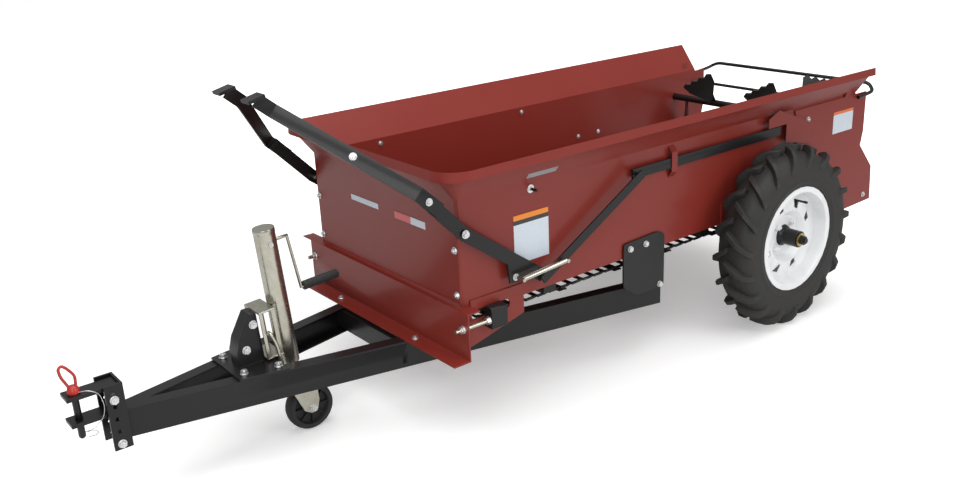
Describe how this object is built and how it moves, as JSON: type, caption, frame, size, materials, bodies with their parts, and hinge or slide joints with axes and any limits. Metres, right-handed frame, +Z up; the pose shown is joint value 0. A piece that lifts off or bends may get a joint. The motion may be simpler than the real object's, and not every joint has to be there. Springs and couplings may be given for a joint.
{
  "type": "manure spreader",
  "caption": "Two-wheeled open-hopper manure spreader with flared rim, floor chain, rear beater, side control levers and an A-frame tongue parked on a caster jack",
  "frame": {"origin": "centre of the bounding box at ground level", "axes": "+Y runs from the hitch to the beater, +Z up, +X to the left-hand side of a viewer facing forward from the rear"},
  "size_m": [1.072, 2.768, 0.9594],
  "materials": {
    "red_paint": "gloss oxide-red powder coat",
    "black_paint": "satin black paint",
    "zinc": "yellowish zinc plate",
    "white_paint": "gloss white paint",
    "tyre_rubber": "black rubber",
    "caster_plastic": "black moulded plastic",
    "grip_rubber": "black ribbed grip",
    "pin_red": "red coating",
    "chain_steel": "black painted chain"
  },
  "bodies": {
    "frame": {"tongue_frame": "black_paint", "hitch_channel": "black_paint", "hitch_clevis": "black_paint", "hitch_pin": "pin_red", "front_cross_channel": "red_paint", "front_panel": "red_paint", "floor_panel": "red_paint", "cross_member_front": "black_paint", "cross_member_rear": "black_paint", "apron_shaft_front": "chain_steel", "apron_shaft_rear": "chain_steel", "apron_chain": "chain_steel", "axle_shaft": "black_paint", "guard_hoop": "black_paint", "guard_bar": "black_paint", "jack_mount": "black_paint", "jack_bracket": "zinc", "jack_tube": "zinc", "side_panel_left": "red_paint", "rear_plate_left": "red_paint", "rail_bracket_left": "black_paint", "tensioner_plate_left": "red_paint", "tension_block_left": "black_paint", "bar_guard_left": "red_paint", "guide_strap_left": "red_paint", "pivot_pin_left": "zinc", "side_panel_right": "red_paint", "rear_plate_right": "red_paint", "rail_bracket_right": "black_paint", "tensioner_plate_right": "red_paint", "tension_block_right": "black_paint", "bar_guard_right": "red_paint", "guide_strap_right": "red_paint", "pivot_pin_right": "zinc"},
    "wheel_left": {"tyre_left": "tyre_rubber", "rim_left": "white_paint", "hub_left": "black_paint"},
    "lever_left": {"lever_lower_left": "black_paint", "lever_upper_left": "black_paint", "spring_link_left": "zinc"},
    "link_left": {"link_bar_left": "black_paint"},
    "slide_left": {"slide_bar_left": "black_paint"},
    "wheel_right": {"tyre_right": "tyre_rubber", "rim_right": "white_paint", "hub_right": "black_paint"},
    "lever_right": {"lever_lower_right": "black_paint", "lever_upper_right": "black_paint", "spring_link_right": "zinc"},
    "link_right": {"link_bar_right": "black_paint"},
    "slide_right": {"slide_bar_right": "black_paint"},
    "beater_rotor": {"beater": "black_paint"},
    "jack_leg": {"jack_inner_tube": "zinc"},
    "caster_yoke": {"caster_fork": "zinc"},
    "caster_roller": {"caster_wheel": "caster_plastic"},
    "crank": {"jack_crank": "zinc", "crank_grip": "grip_rubber"}
  },
  "joints": [
    {"name": "wheel_left_spin", "type": "hinge", "parent": "frame", "child": "wheel_left", "pos_m": [0.449, 0.744, 0.2965], "axis": [1, 0, 0], "continuous": true},
    {"name": "wheel_right_spin", "type": "hinge", "parent": "frame", "child": "wheel_right", "pos_m": [-0.449, 0.744, 0.2965], "axis": [1, 0, 0], "continuous": true},
    {"name": "lever_left_swing", "type": "hinge", "parent": "frame", "child": "lever_left", "pos_m": [0.3775, -0.477, 0.59], "axis": [1, 0, 0], "range_deg": [-6, 10]},
    {"name": "link_left_pivot", "type": "hinge", "parent": "lever_left", "child": "link_left", "pos_m": [0.391, -0.222, 0.408], "axis": [1, 0, 0], "range_deg": [-17.3, 10.4]},
    {"name": "slide_left_travel", "type": "slide", "parent": "frame", "child": "slide_left", "axis": [0, 1, 0], "range_m": [-0.0306, 0.0508]},
    {"name": "lever_right_swing", "type": "hinge", "parent": "frame", "child": "lever_right", "pos_m": [-0.3775, -0.477, 0.59], "axis": [1, 0, 0], "range_deg": [-6, 10]},
    {"name": "link_right_pivot", "type": "hinge", "parent": "lever_right", "child": "link_right", "pos_m": [-0.391, -0.222, 0.408], "axis": [1, 0, 0], "range_deg": [-17.3, 10.4]},
    {"name": "slide_right_travel", "type": "slide", "parent": "frame", "child": "slide_right", "axis": [0, 1, 0], "range_m": [-0.0306, 0.0508]},
    {"name": "beater_spin", "type": "hinge", "parent": "frame", "child": "beater_rotor", "pos_m": [0, 1.129, 0.58], "axis": [1, 0, 0], "continuous": true},
    {"name": "jack_extend", "type": "slide", "parent": "frame", "child": "jack_leg", "axis": [0, 0.0698, -0.9976], "range_m": [-0.015, 0.14]},
    {"name": "caster_swivel", "type": "hinge", "parent": "jack_leg", "child": "caster_yoke", "pos_m": [0, -0.80091, 0.14412], "axis": [0, -0.0698, 0.9976], "continuous": true},
    {"name": "caster_roll", "type": "hinge", "parent": "caster_yoke", "child": "caster_roller", "pos_m": [0, -0.76247, 0.06752], "axis": [1, 0, 0], "continuous": true},
    {"name": "crank_turn", "type": "hinge", "parent": "frame", "child": "crank", "pos_m": [0, -0.80128, 0.56512], "axis": [0, 0.9976, 0.0698], "continuous": true}
  ],
  "couplings": [
    {"joint": "link_left_pivot", "follows": "lever_left_swing", "ratio": -1.72},
    {"joint": "slide_left_travel", "follows": "lever_left_swing", "m_per_rad": 0.29},
    {"joint": "link_right_pivot", "follows": "lever_right_swing", "ratio": -1.72},
    {"joint": "slide_right_travel", "follows": "lever_right_swing", "m_per_rad": 0.29}
  ]
}
